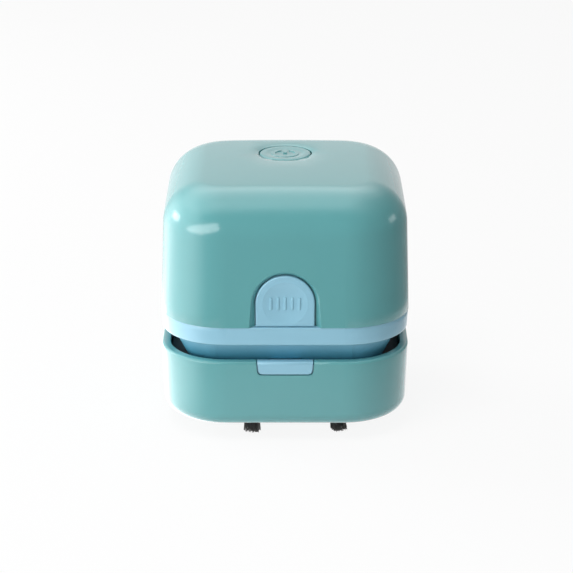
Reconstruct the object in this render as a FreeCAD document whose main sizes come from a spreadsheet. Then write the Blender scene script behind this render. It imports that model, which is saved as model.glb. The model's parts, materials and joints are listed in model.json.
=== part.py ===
import FreeCAD, Part
import os

import Sketcher
from FreeCAD import Placement, Rotation, Vector

# Desktop mini vacuum cleaner in millimetres. The front faces -Y, +Z is up, and the
# origin is on the table, under the middle of the body.

doc = FreeCAD.newDocument("desk_vacuum")
sheet = doc.addObject("Spreadsheet::Sheet", "Sizes")


class Size:
    """A length worked out from the sheet: its value now, and the expression that gives it."""

    def __init__(self, value, text):
        self.value = value
        self.text = text

    def __add__(self, other):
        return Size(self.value + number(other), f"({self.text} + {words(other)})")

    def __radd__(self, other):
        return Size(number(other) + self.value, f"({words(other)} + {self.text})")

    def __sub__(self, other):
        return Size(self.value - number(other), f"({self.text} - {words(other)})")

    def __rsub__(self, other):
        return Size(number(other) - self.value, f"({words(other)} - {self.text})")

    def __mul__(self, other):
        return Size(self.value * number(other), f"({self.text} * {words(other)})")

    __rmul__ = __mul__

    def __truediv__(self, other):
        return Size(self.value / number(other), f"({self.text} / {words(other)})")

    def __neg__(self):
        return Size(-self.value, f"(0 - {self.text})")


def number(thing):
    return thing.value if isinstance(thing, Size) else float(thing)


def words(thing):
    return thing.text if isinstance(thing, Size) else repr(float(thing))


class Sizes:
    """Writes each named size of a group to a row of the sheet and keeps it as an attribute."""

    row = 0

    def __init__(self, **sizes):
        for name, value in sizes.items():
            Sizes.row += 1
            sheet.set(f"A{Sizes.row}", name)
            sheet.set(f"B{Sizes.row}", str(value))
            sheet.setAlias(f"B{Sizes.row}", name)
            setattr(self, name, Size(float(value), f"Sizes.{name}"))


# Driving sizes, one group for each part of the object

body = Sizes(
    body_width=80.4,
    corner_radius=21.3,
    lower_height=22.7,
    gap_height=5.4,
    band_height=6.2,
    upper_height=43.45,
    upper_taper=1.4,
    lower_taper=0.8,
    top_rounding=14.0,
    base_rounding=4.7,
    crown_rise=0.8,
    shell_wall=2.2,
    cut_overrun=2.0,
    fit_gap=0.15,
    moving_gap=0.3,
)
rim = Sizes(
    rim_wall=2.6,
    rim_depth=7.0,
    rim_rounding=0.8,
    rib_thickness=2.0,
    rib_reach=1.8,
)
inlet = Sizes(
    inlet_radius=9.0,
    inlet_wall=1.8,
    inlet_height=11.0,
    inlet_chamfer=0.8,
    inlet_flange=1.6,
    inlet_flange_thickness=0.9,
)
brush = Sizes(
    brush_length=5.3,
    tuft_inset=8.7,
    tuft_width=5.2,
    tuft_depth=4.4,
    tuft_seat=1.2,
    ring_width=4.6,
    ring_height=2.3,
    ring_flange=0.7,
    ring_flange_height=0.8,
    ring_gap=0.3,
    ring_roof=1.8,
)
band = Sizes(
    band_inset=0.15,
    band_taper=0.3,
    band_edge_rounding=0.8,
    neck_inset=9.6,
    neck_flare=5.6,
    neck_corner_step=12.3,
    neck_depth=11.4,
    neck_wall=2.0,
    shoulder_thickness=2.0,
    tongue_height=2.0,
    tongue_overlap=2.0,
    tongue_wall=1.2,
)
vents = Sizes(
    vent_width=1.6,
    vent_height=2.8,
    vent_pitch=3.6,
    vent_drop=0.9,
)
seal = Sizes(seal_height=1.8, seal_lift=0.3)
posts = Sizes(
    post_inset=6.6,
    post_radius=3.6,
    boss_radius=3.0,
    screw_radius=1.2,
    screw_clearance=0.25,
    screw_head_radius=2.4,
    screw_head_height=1.8,
    screw_bite=9.0,
)
plate = Sizes(
    plate_thickness=1.8,
    plate_inset=4.6,
    plate_corner_step=4.8,
    plate_drop=0.8,
    collar_wall=1.5,
    collar_height=5.0,
    cradle_wall=1.2,
    cradle_height=6.0,
)
latch = Sizes(
    latch_radius=9.4,
    latch_height=17.15,
    latch_sink=0.8,
    latch_thickness=2.0,
    latch_edge=0.5,
    latch_gap=0.3,
    latch_foot_gap=0.12,
    latch_flange=1.1,
    latch_flange_thickness=1.2,
    latch_bevel=1.6,
    latch_flare=0.4,
    dish_radius=7.2,
    dish_depth=0.8,
    grip_width=0.7,
    grip_height=4.0,
    grip_pitch=2.25,
    grip_rise=0.3,
    latch_travel=2.0,
    latch_travel_gap=0.35,
    arm_half_width=5.0,
    arm_inset=0.4,
    arm_thickness=1.6,
    nose_height=1.5,
    spring_radius=2.2,
    spring_wire=0.45,
    spring_rise=10.0,
)
catch = Sizes(
    tab_half_width=8.95,
    tab_height=4.2,
    tab_side_taper=0.35,
    tab_corner=1.2,
    tab_gap=0.4,
    catch_half_width=12.0,
    catch_height=6.6,
    catch_drop=1.5,
    catch_thickness=1.2,
    catch_window_depth=0.7,
)
button = Sizes(
    button_radius=8.6,
    button_to_back=28.6,
    button_gap=0.3,
    button_wall=1.6,
    button_flange=1.4,
    button_flange_thickness=1.3,
    button_flange_drop=0.25,
    button_sink=0.4,
    button_edge=0.8,
    well_radius=12.8,
    well_depth=1.0,
    icon_radius=4.6,
    icon_stroke=1.25,
    icon_sink=0.12,
    button_dish_radius=6.6,
    button_dish_depth=0.5,
    icon_gap=2.6,
)
switch = Sizes(
    switch_width=8.0,
    switch_height=4.8,
    plunger_radius=1.6,
    plunger_length=4.6,
    switch_board_gap=3.5,
    switch_board_width=11.0,
    board_thickness=1.6,
    switch_boss_radius=2.4,
    switch_boss_inset=3.0,
    small_screw_radius=0.9,
    small_head_radius=1.7,
    small_head_height=1.2,
    small_screw_length=6.0,
)
motor = Sizes(
    motor_radius=12.0,
    motor_head_gap=3.2,
    motor_wall=1.0,
    motor_cap_height=2.6,
    motor_shaft_radius=1.0,
    motor_bush_radius=3.0,
    motor_bush_height=2.2,
    bush_clearance=0.06,
    rotor_radius=8.4,
    rotor_end_gap=1.0,
    magnet_thickness=1.8,
    magnet_end_gap=3.9,
    terminal_width=2.4,
    terminal_thickness=0.5,
    terminal_height=1.3,
    motor_screw_offset=8.0,
    motor_screw_length=3.6,
)
fan = Sizes(
    fan_margin=8.1,
    fan_height=8.0,
    fan_disc=1.4,
    fan_hub_radius=4.0,
    fan_blade=1.0,
    fan_running_gap=1.7,
)
strainer = Sizes(
    filter_margin=6.2,
    filter_wall=1.8,
    filter_height=5.6,
    filter_flange=3.1,
    filter_flange_thickness=0.8,
    filter_seal_thickness=0.8,
    filter_bar=1.2,
    filter_play=0.4,
    pleat_depth=2.6,
    pleat_cloth=0.9,
    pull_width=8.0,
    pull_drop=2.9,
    pull_thickness=1.2,
)
cover = Sizes(
    cover_wall=1.4,
    cover_height=4.2,
    cover_thickness=1.6,
    cover_eye_radius=9.0,
    cover_bar=1.2,
)
battery = Sizes(
    battery_side_gap=4.0,
    battery_back_gap=2.0,
    battery_head_gap=4.6,
    battery_gap=0.3,
)
port = Sizes(
    board_width=22.0,
    board_depth=11.2,
    board_lift=15.4,
    board_back_gap=1.3,
    board_post_radius=2.2,
    board_post_spacing=17.0,
    board_post_reach=7.2,
    socket_width=9.0,
    socket_height=3.2,
    socket_depth=7.3,
    socket_wall=0.35,
    socket_tongue=0.8,
    port_margin=0.6,
    lamp_radius=1.2,
    lamp_side=8.2,
    lamp_length=8.5,
)
leads = Sizes(lead_radius=0.6, lead_bend=2.0, lead_spacing=11.0)

doc.recompute()

# Counts and shares that go with the sizes

tuft_count = 7
first_tuft_degrees = -19.9
blade_count = 9
side_vents = 9
grip_count = 5
spring_turns = 7
pleat_count = 12
blade_bend_share = 0.62
blade_aside_share = 0.16
room_slope_share = 0.66
battery_edge_share = 0.44

# Levels above the table, and widths from the middle

half = body.body_width / 2
z_base = brush.brush_length
z_rim = z_base + body.lower_height
z_band = z_rim + body.gap_height
z_shell = z_band + body.band_height
z_top = z_shell + body.upper_height
z_floor = z_base + body.shell_wall
z_neck = z_band - band.neck_depth
z_neck_floor = z_neck + band.neck_wall
z_plate = z_shell - plate.plate_drop
z_plate_top = z_plate + plate.plate_thickness
z_roof = z_top - body.shell_wall
z_ceiling = z_roof - body.crown_rise / 2
neck_half = half - band.neck_inset
post_place = neck_half - posts.post_inset
latch_face = half - latch.latch_sink
zero = half * 0
button_y = half - button.button_to_back
boss_inner = post_place - posts.boss_radius


def bind(thing, name, size):
    """Sets a property, and ties it to the sheet when the size comes from there."""
    setattr(thing, name, number(size))
    if isinstance(size, Size):
        thing.setExpression(name, size.text)


def place(thing, x, y, z, turn=None):
    thing.Placement = Placement(Vector(number(x), number(y), number(z)), turn or Rotation())
    for name, size in (("x", x), ("y", y), ("z", z)):
        if isinstance(size, Size):
            thing.setExpression(f"Placement.Base.{name}", size.text)
    return thing


turns = {
    "z": Rotation(),
    "x": Rotation(Vector(0, 1, 0), 90),
    "y": Rotation(Vector(1, 0, 0), -90),
}


def cylinder(label, radius, height, x=0, y=0, z=0, along="z"):
    thing = doc.addObject("Part::Cylinder", label)
    bind(thing, "Radius", radius)
    bind(thing, "Height", height)
    return place(thing, x, y, z, turns[along])


def cone(label, low_radius, high_radius, height, x=0, y=0, z=0, along="z"):
    thing = doc.addObject("Part::Cone", label)
    bind(thing, "Radius1", low_radius)
    bind(thing, "Radius2", high_radius)
    bind(thing, "Height", height)
    return place(thing, x, y, z, turns[along])


def sphere(label, radius, x, y, z, lying=True):
    """A ball. Lying, its poles and seam are away from its top and bottom."""
    thing = doc.addObject("Part::Sphere", label)
    bind(thing, "Radius", radius)
    return place(thing, x, y, z, Rotation(Vector(1, 0, 0), 90) if lying else None)


def box(label, low, high):
    """A box from its lowest corner to its highest."""
    thing = doc.addObject("Part::Box", label)
    for name, a, b in zip(("Length", "Width", "Height"), low, high):
        bind(thing, name, b - a)
    return place(thing, *low)


def tube(label, outer, inner, height, x=0, y=0, z=0, along="z"):
    return cut(
        label,
        cylinder(label + "_outer", outer, height, x, y, z, along),
        [cylinder(label + "_inner", inner, height, x, y, z, along)],
    )


def fuse(label, things):
    thing = doc.addObject("Part::MultiFuse", label)
    thing.Shapes = things
    return thing


def common(label, things):
    thing = doc.addObject("Part::MultiCommon", label)
    thing.Shapes = things
    return thing


def cut(label, base, tools):
    thing = doc.addObject("Part::Cut", label)
    thing.Base = base
    thing.Tool = tools[0] if len(tools) == 1 else fuse(label + "_tools", tools)
    return thing


def turned(label, source, degrees):
    """A linked copy of a shape, turned about the body's vertical axis."""
    thing = doc.addObject("App::Link", label)
    thing.LinkedObject = source
    thing.LinkTransform = True
    thing.Placement = Placement(Vector(), Rotation(Vector(0, 0, 1), degrees))
    return thing


def all_round(label, source, count, first=0.0):
    """Copies of a shape at even steps about the body's vertical axis."""
    step = 360.0 / count
    return [turned(f"{label}_{i}", source, first + step * i) for i in range(count)]


def new_body(label):
    return doc.addObject("PartDesign::Body", label)


def sketch_on(part, name, plane, offset=0):
    """An empty sketch on one of the body's own planes, moved along its normal."""
    sketch = part.newObject("Sketcher::SketchObject", name)
    origin_plane = next(f for f in part.Origin.OriginFeatures if f.Role == plane + "_Plane")
    sketch.AttachmentSupport = [(origin_plane, "")]
    sketch.MapMode = "FlatFace"
    sketch.AttachmentOffset = Placement(Vector(0, 0, number(offset)), Rotation())
    if isinstance(offset, Size):
        sketch.setExpression("AttachmentOffset.Base.z", offset.text)
    return sketch


def hold(sketch, edge, point, x, y):
    """Holds one point of the sketch at its place from the origin."""
    for kind, size in (("DistanceX", x), ("DistanceY", y)):
        index = sketch.addConstraint(Sketcher.Constraint(kind, -1, 1, edge, point, number(size)))
        if isinstance(size, Size):
            sketch.setExpression(f"Constraints[{index}]", size.text)


def flat(x, y):
    return Vector(number(x), number(y), 0)


def draw_polygon(sketch, points):
    for i, (x, y) in enumerate(points):
        next_x, next_y = points[(i + 1) % len(points)]
        edge = sketch.addGeometry(Part.LineSegment(flat(x, y), flat(next_x, next_y)))
        hold(sketch, edge, 1, x, y)
        hold(sketch, edge, 2, next_x, next_y)


def draw_arc(sketch, centre, start, end, held="DistanceX"):
    """An arc from start to end, counter-clockwise. Its ends are held, and its centre one way."""
    middle = flat(*centre)
    first, last = flat(*start) - middle, flat(*end) - middle
    angles = [Vector(1, 0, 0).getAngle(v) * (1 if v.y >= 0 else -1) for v in (first, last)]
    circle = Part.Circle(middle, Vector(0, 0, 1), first.Length)
    edge = sketch.addGeometry(Part.ArcOfCircle(circle, angles[0], angles[1]))
    hold(sketch, edge, 1, *start)
    hold(sketch, edge, 2, *end)
    size = centre[0] if held == "DistanceX" else centre[1]
    index = sketch.addConstraint(Sketcher.Constraint(held, -1, 1, edge, 3, number(size)))
    if isinstance(size, Size):
        sketch.setExpression(f"Constraints[{index}]", size.text)


def draw_rounded(sketch, half_x, half_y, corner, x=0, y=0):
    """A rectangle with round corners about x, y."""
    inner_x, inner_y = half_x - corner, half_y - corner
    lines = [
        ((x - inner_x, y - half_y), (x + inner_x, y - half_y)),
        ((x + half_x, y - inner_y), (x + half_x, y + inner_y)),
        ((x + inner_x, y + half_y), (x - inner_x, y + half_y)),
        ((x - half_x, y + inner_y), (x - half_x, y - inner_y)),
    ]
    centres = [(1, -1), (1, 1), (-1, 1), (-1, -1)]
    for i, (start, end) in enumerate(lines):
        edge = sketch.addGeometry(Part.LineSegment(flat(*start), flat(*end)))
        hold(sketch, edge, 1, *start)
        hold(sketch, edge, 2, *end)
        side_x, side_y = centres[i]
        centre = (x + inner_x * side_x, y + inner_y * side_y)
        draw_arc(sketch, centre, end, lines[(i + 1) % 4][0])


def draw_arch(sketch, foot_half, radius, low, spring):
    """A doorway outline: slanting legs up to the spring line, and a half circle over them."""
    left, right = -radius, radius
    for start, end in (
        ((left, spring), (-foot_half, low)),
        ((-foot_half, low), (foot_half, low)),
        ((foot_half, low), (right, spring)),
    ):
        edge = sketch.addGeometry(Part.LineSegment(flat(*start), flat(*end)))
        hold(sketch, edge, 1, *start)
        hold(sketch, edge, 2, *end)
    draw_arc(sketch, (zero, spring), (right, spring), (left, spring), "DistanceY")


def pad(label, plane, offset, length, draw, *shape):
    """A body that pads one drawn outline along the plane's normal."""
    part = new_body(label)
    sketch = sketch_on(part, label + "_outline", plane, offset)
    draw(sketch, *shape)
    feature = part.newObject("PartDesign::Pad", label + "_pad")
    feature.Profile = sketch
    bind(feature, "Length", length)
    return part


def tapered(label, plane, offset, length, spread, draw, *shape):
    """A pad whose outline grows all round by spread over its length."""
    part = pad(label, plane, offset, length, draw, *shape)
    part.Tip.setExpression("TaperAngle", f"atan({words(spread)} / {words(length)})")
    return part


def revolve(label, points):
    """A body turned about the Z axis from points given as radius and height."""
    part = new_body(label)
    sketch = sketch_on(part, label + "_profile", "XZ")
    draw_polygon(sketch, points)
    feature = part.newObject("PartDesign::Revolution", label + "_turn")
    feature.Profile = sketch
    feature.ReferenceAxis = (sketch, ["V_Axis"])
    feature.Angle = 360
    return part


def at_level(level):
    """A test that an edge passes when it lies at this level."""
    return lambda edge: between(edge, level - body.fit_gap, level + body.fit_gap)


def edges_where(shape, test):
    return [f"Edge{i + 1}" for i, edge in enumerate(shape.Edges) if test(edge)]


def between(edge, low, high):
    """True if the whole edge lies between two levels."""
    return edge.BoundBox.ZMin > number(low) and edge.BoundBox.ZMax < number(high)


def rounded(label, thing, radius, test, kind="PartDesign::Fillet"):
    """A body that takes a finished solid and rounds the edges that pass the test."""
    if thing.TypeId == "PartDesign::Body":
        part = thing
    else:
        part = new_body(label)
        part.BaseFeature = thing
    doc.recompute()
    base = part.Tip
    names = edges_where(part.Shape, test)
    feature = part.newObject(kind, label + "_edges")
    feature.Base = (base, names)
    bind(feature, "Size" if kind.endswith("Chamfer") else "Radius", radius)
    doc.recompute()
    return part


def corners(place_x, place_y):
    return [(place_x * sx, place_y * sy) for sx in (-1, 1) for sy in (-1, 1)]


pieces = {}


def piece(name, thing):
    thing.Label = name
    pieces[name] = thing
    return thing


# Outer forms that several pieces share


def dome(label, inset):
    """The upper body's form, taken in by inset: tapered walls, a crowned top and a round top edge."""
    block = dome_block(label, inset, z_top - inset)
    top = z_top - inset
    crown = half * half / (body.crown_rise * 2)
    ball = sphere(label + "_crown", crown, 0, 0, top - crown)
    crowned = common(label + "_crowned", [block, ball])
    edge_top = top - body.crown_rise * 4
    return rounded(
        label,
        crowned,
        body.top_rounding - inset,
        lambda edge: between(edge, edge_top, top + body.cut_overrun),
    )


def dome_block(label, inset, top):
    """Tapered walls with round corners, up to a level. Taken in, they start lower, to cut with."""
    wide = half - inset
    drop = body.cut_overrun if number(inset) else 0
    return tapered(
        label + "_block",
        "XY",
        z_shell - drop,
        top - z_shell + drop,
        -body.upper_taper,
        draw_rounded,
        wide,
        wide,
        body.corner_radius - inset,
    )


def dome_room():
    """The space inside the upper body: a flat ceiling, with a slope all round in place of a curve."""
    room = dome_block("shell_room", body.shell_wall, z_ceiling)
    slope = body.top_rounding * room_slope_share
    return rounded(
        "shell_room",
        room,
        slope,
        at_level(z_ceiling),
        "PartDesign::Chamfer",
    )


def roof_boss(label, radius, low, x, y, limit):
    """A boss from a level up into the roof, where it ends inside the wall."""
    return common(label, [cylinder(label + "_rod", radius, z_top - low, x, y, low), limit])


def lower_form():
    """The lower body's form, with its round foot and lip."""
    wide = half - body.lower_taper
    form = tapered(
        "lower_outer",
        "XY",
        z_base,
        body.lower_height,
        body.lower_taper,
        draw_rounded,
        wide,
        wide,
        body.corner_radius - body.lower_taper,
    )
    rounded("lower_foot", form, body.base_rounding, at_level(z_base))
    return rounded("lower_lip", form, rim.rim_rounding, at_level(z_rim))


# Lower assembly: the dust box that stands on the brush


def make_lower_shell(outer):
    mouth_half = half - rim.rim_wall
    mouth = pad(
        "lower_mouth",
        "XY",
        z_rim - rim.rim_depth,
        rim.rim_depth + body.cut_overrun,
        draw_rounded,
        mouth_half,
        mouth_half,
        body.corner_radius - rim.rim_wall,
    )
    bin_half = half - body.shell_wall - body.lower_taper
    chamber = pad(
        "lower_chamber",
        "XY",
        z_floor,
        z_rim - rim.rim_depth - z_floor,
        draw_rounded,
        bin_half,
        bin_half,
        body.corner_radius - body.shell_wall - body.lower_taper,
    )
    rounded(
        "lower_chamber_foot",
        chamber,
        body.base_rounding - body.shell_wall,
        at_level(z_floor),
        "PartDesign::Chamfer",
    )
    hollow = cut("lower_hollow", outer, [mouth, chamber])
    groove = brush_groove()
    tuft_circle = half - brush.tuft_inset
    channel_half = brush.ring_width / 2 + brush.ring_flange + brush.ring_gap + brush.ring_roof
    channel_top = z_base + brush.ring_height + brush.ring_gap * 2 + brush.ring_roof
    channel = tube(
        "lower_channel",
        tuft_circle + channel_half,
        tuft_circle - channel_half,
        channel_top - z_floor,
        z=z_floor,
    )
    rib = box(
        "lower_rib",
        (neck_half - rim.rib_reach, -rim.rib_thickness / 2, z_floor),
        (bin_half + body.shell_wall / 2, rim.rib_thickness / 2, z_neck - body.moving_gap),
    )
    ribs = all_round("lower_rib", rib, 4)
    full = fuse("lower_full", [hollow, channel, *ribs])
    hole = inlet.inlet_radius + inlet.inlet_wall + body.fit_gap
    bore = cylinder("lower_bore", hole, z_rim, z=z_base - body.cut_overrun)
    seat = cylinder(
        "lower_inlet_seat",
        hole + inlet.inlet_flange,
        inlet.inlet_flange_thickness + body.fit_gap + body.cut_overrun,
        z=z_base - body.cut_overrun,
    )
    return cut("lower_shell_body", full, [groove, bore, seat, tab_notch(), catch_pocket()])


def make_inlet_tube():
    """The suction inlet, pushed up through the floor until its flange sits in the underside."""
    outer = inlet.inlet_radius + inlet.inlet_wall
    stem = cylinder("inlet_stem", outer, inlet.inlet_height, z=z_base)
    flange = cylinder(
        "inlet_flange_disc", outer + inlet.inlet_flange, inlet.inlet_flange_thickness, z=z_base
    )
    bore = cylinder("inlet_bore", inlet.inlet_radius, inlet.inlet_height * 2, z=z_base - body.cut_overrun)
    funnel = cone(
        "inlet_funnel",
        inlet.inlet_radius + inlet.inlet_chamfer,
        inlet.inlet_radius,
        inlet.inlet_chamfer,
        z=z_base,
    )
    return cut("inlet_tube_body", fuse("inlet_full", [stem, flange]), [bore, funnel])


def brush_groove():
    """The channel under the base, narrower at its mouth, that the brush ring snaps into."""
    middle = half - brush.tuft_inset
    neck = brush.ring_width / 2 + brush.ring_gap
    wide = neck + brush.ring_flange
    shelf = z_base + brush.ring_height - brush.ring_flange_height - brush.ring_gap
    roof = z_base + brush.ring_height + brush.ring_gap
    low = z_base - body.cut_overrun
    return revolve(
        "lower_groove",
        [
            (middle - neck, low),
            (middle + neck, low),
            (middle + neck, shelf),
            (middle + wide, shelf),
            (middle + wide, roof),
            (middle - wide, roof),
            (middle - wide, shelf),
            (middle - neck, shelf),
        ],
    )


def tab_outline(label, grow, start, length):
    """The front tab's outline: narrower at its foot."""
    top = catch.tab_half_width + grow
    foot = catch.tab_half_width - catch.tab_side_taper + grow
    low = z_rim - catch.tab_height - grow
    high = z_rim + grow * 4
    corner = catch.tab_corner
    return pad(
        label,
        "XZ",
        start,
        length,
        draw_polygon,
        [
            (-top, high),
            (-foot, low + corner),
            (-foot + corner * 0.3, low + corner * 0.3),
            (-foot + corner, low),
            (foot - corner, low),
            (foot - corner * 0.3, low + corner * 0.3),
            (foot, low + corner),
            (top, high),
        ],
    )


def tab_notch():
    return tab_outline("notch", catch.tab_gap, half - rim.rim_wall * 2, rim.rim_wall * 3)


def catch_pocket():
    inner = half - rim.rim_wall
    return box(
        "catch_pocket",
        (-catch.catch_half_width, -inner - catch.catch_thickness, z_rim - catch.catch_height),
        (catch.catch_half_width, -inner + body.cut_overrun, z_rim - catch.catch_drop),
    )


def make_catch_tab(outer):
    """The tab that fills the rim's notch, with the plate behind it that the latch's nose works in."""
    inner = half - rim.rim_wall
    tab = tab_outline("tab_block", zero, inner, rim.rim_wall + body.cut_overrun)
    trimmed = common("tab_trimmed", [tab, outer])
    back = box(
        "tab_back",
        (
            -catch.catch_half_width + body.fit_gap,
            -inner - catch.catch_thickness,
            z_rim - catch.catch_height,
        ),
        (catch.catch_half_width - body.fit_gap, -inner, z_rim - catch.catch_drop - body.fit_gap),
    )
    nose_low = z_neck_floor + latch.nose_height / 5
    window = box(
        "tab_window",
        (
            -latch.arm_half_width - body.moving_gap,
            -inner - catch.catch_window_depth,
            nose_low,
        ),
        (
            latch.arm_half_width + body.moving_gap,
            -inner + body.cut_overrun,
            nose_low + latch.nose_height + body.moving_gap * 2,
        ),
    )
    return cut("catch_tab_body", fuse("tab_full", [trimmed, back]), [window])


def make_brush_ring():
    middle = half - brush.tuft_inset
    neck = brush.ring_width / 2
    wide = neck + brush.ring_flange
    top = z_base + brush.ring_height
    shelf = top - brush.ring_flange_height
    ring = revolve(
        "ring_turned",
        [
            (middle - neck, z_base),
            (middle + neck, z_base),
            (middle + neck, shelf),
            (middle + wide, shelf),
            (middle + wide, top),
            (middle - wide, top),
            (middle - wide, shelf),
            (middle - neck, shelf),
        ],
    )
    return cut("brush_ring_body", ring, make_tufts("seat"))


def make_tufts(label):
    """Seven bristle bundles on the ring, from the table up into their seats."""
    middle = half - brush.tuft_inset
    wide, deep = brush.tuft_width / 2, brush.tuft_depth / 2
    pattern = pad(
        label + "_pattern",
        "XY",
        zero,
        z_base + brush.tuft_seat,
        draw_rounded,
        wide,
        deep,
        deep / 2,
        zero,
        -middle,
    )
    return all_round(label, pattern, tuft_count, first_tuft_degrees)


# Housing: chassis with its band and neck


def neck_form(label, inset, low, high):
    """The tapered neck under the band, taken in by inset, between two levels."""
    slope = band.neck_flare / band.neck_depth
    wide = neck_half + slope * (low - z_neck) - inset
    corner = body.corner_radius - band.neck_corner_step + slope * (low - z_neck) - inset
    spread = slope * (high - low)
    return tapered(label, "XY", low, high - low, spread, draw_rounded, wide, wide, corner)


def make_chassis():
    band_half = half - band.band_inset
    band_corner = body.corner_radius - band.band_inset
    wide = band_half - band.band_taper
    outer = tapered(
        "band_outer",
        "XY",
        z_band,
        body.band_height,
        band.band_taper,
        draw_rounded,
        wide,
        wide,
        band_corner - band.band_taper,
    )
    rounded("band_lower_edge", outer, band.band_edge_rounding, at_level(z_band))
    neck = neck_form("neck_outer", zero, z_neck, z_band)
    tongue_half = half - body.shell_wall - body.fit_gap
    tongue_corner = body.corner_radius - body.shell_wall - body.fit_gap
    tongue = pad(
        "tongue",
        "XY",
        z_shell - band.tongue_overlap,
        band.tongue_overlap + band.tongue_height,
        draw_rounded,
        tongue_half,
        tongue_half,
        tongue_corner,
    )
    solid = fuse("chassis_solid", [outer, neck, tongue])
    open_half = tongue_half - band.tongue_wall
    cavity = pad(
        "band_cavity",
        "XY",
        z_band + band.shoulder_thickness,
        body.band_height + band.tongue_height + body.cut_overrun,
        draw_rounded,
        open_half,
        open_half,
        tongue_corner - band.tongue_wall,
    )
    neck_cavity = neck_form(
        "neck_cavity", band.neck_wall, z_neck_floor, z_band + band.shoulder_thickness
    )
    shell = cut("chassis_shell", solid, [cavity, neck_cavity])
    stands = [
        cylinder(f"stand_{i}", posts.post_radius, z_plate - z_neck, x, y, z_neck)
        for i, (x, y) in enumerate(corners(post_place, post_place))
    ]
    full = fuse("chassis_full", [shell, *stands])
    holes = []
    for i, (x, y) in enumerate(corners(post_place, post_place)):
        clear = posts.screw_radius + posts.screw_clearance
        holes.append(cylinder(f"stand_hole_{i}", clear, z_plate, x, y, z_neck - body.cut_overrun))
        holes.append(
            cylinder(
                f"stand_counterbore_{i}",
                posts.screw_head_radius + posts.screw_clearance,
                posts.screw_head_height + body.fit_gap * 2 + body.cut_overrun,
                x,
                y,
                z_neck - body.cut_overrun,
            )
        )
    filter_hole = cylinder(
        "filter_hole",
        neck_half - strainer.filter_margin + strainer.filter_play,
        band.neck_wall + body.cut_overrun * 2,
        z=z_neck - body.cut_overrun,
    )
    latch_gap = latch.arm_half_width + body.moving_gap
    nose_low = z_neck_floor + latch.nose_height / 5
    slot = box(
        "nose_slot",
        (-latch_gap, -half, nose_low),
        (latch_gap, -neck_half + band.neck_wall * 2, nose_low + latch.nose_height + body.moving_gap * 2),
    )
    flange_gap = latch.latch_radius + latch.latch_flange + body.moving_gap * 3
    tongue_gap = box(
        "tongue_gap",
        (-flange_gap, -half, z_shell),
        (flange_gap, -open_half + band.tongue_wall, z_shell + band.tongue_height + body.cut_overrun),
    )
    return cut("chassis_body", full, [*holes, filter_hole, slot, tongue_gap, *make_vents()])


def make_vents():
    """Rows of upright outlet slots through the neck's side and back walls, at the gap's level."""
    low = z_band - vents.vent_drop - vents.vent_height
    high = z_band - vents.vent_drop
    near = neck_half - band.neck_wall * 2
    far = half
    slots = []
    for i in range(side_vents):
        middle = vents.vent_pitch * (i - (side_vents - 1) / 2)
        left, right = middle - vents.vent_width / 2, middle + vents.vent_width / 2
        slots.append(box(f"vent_right_{i}", (near, left, low), (far, right, high)))
        slots.append(box(f"vent_left_{i}", (-far, left, low), (-near, right, high)))
        slots.append(box(f"vent_back_{i}", (left, near, low), (right, far, high)))
    return slots


def make_neck_seal():
    """The black rubber ring round the foot of the neck."""
    wide = half - rim.rim_wall - body.moving_gap
    block = pad(
        "seal_block",
        "XY",
        z_neck + seal.seal_lift,
        seal.seal_height,
        draw_rounded,
        wide,
        wide,
        body.corner_radius - rim.rim_wall - body.moving_gap,
    )
    return cut("neck_seal_body", block, [neck_form("seal_core", zero, z_neck, z_band)])


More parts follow.
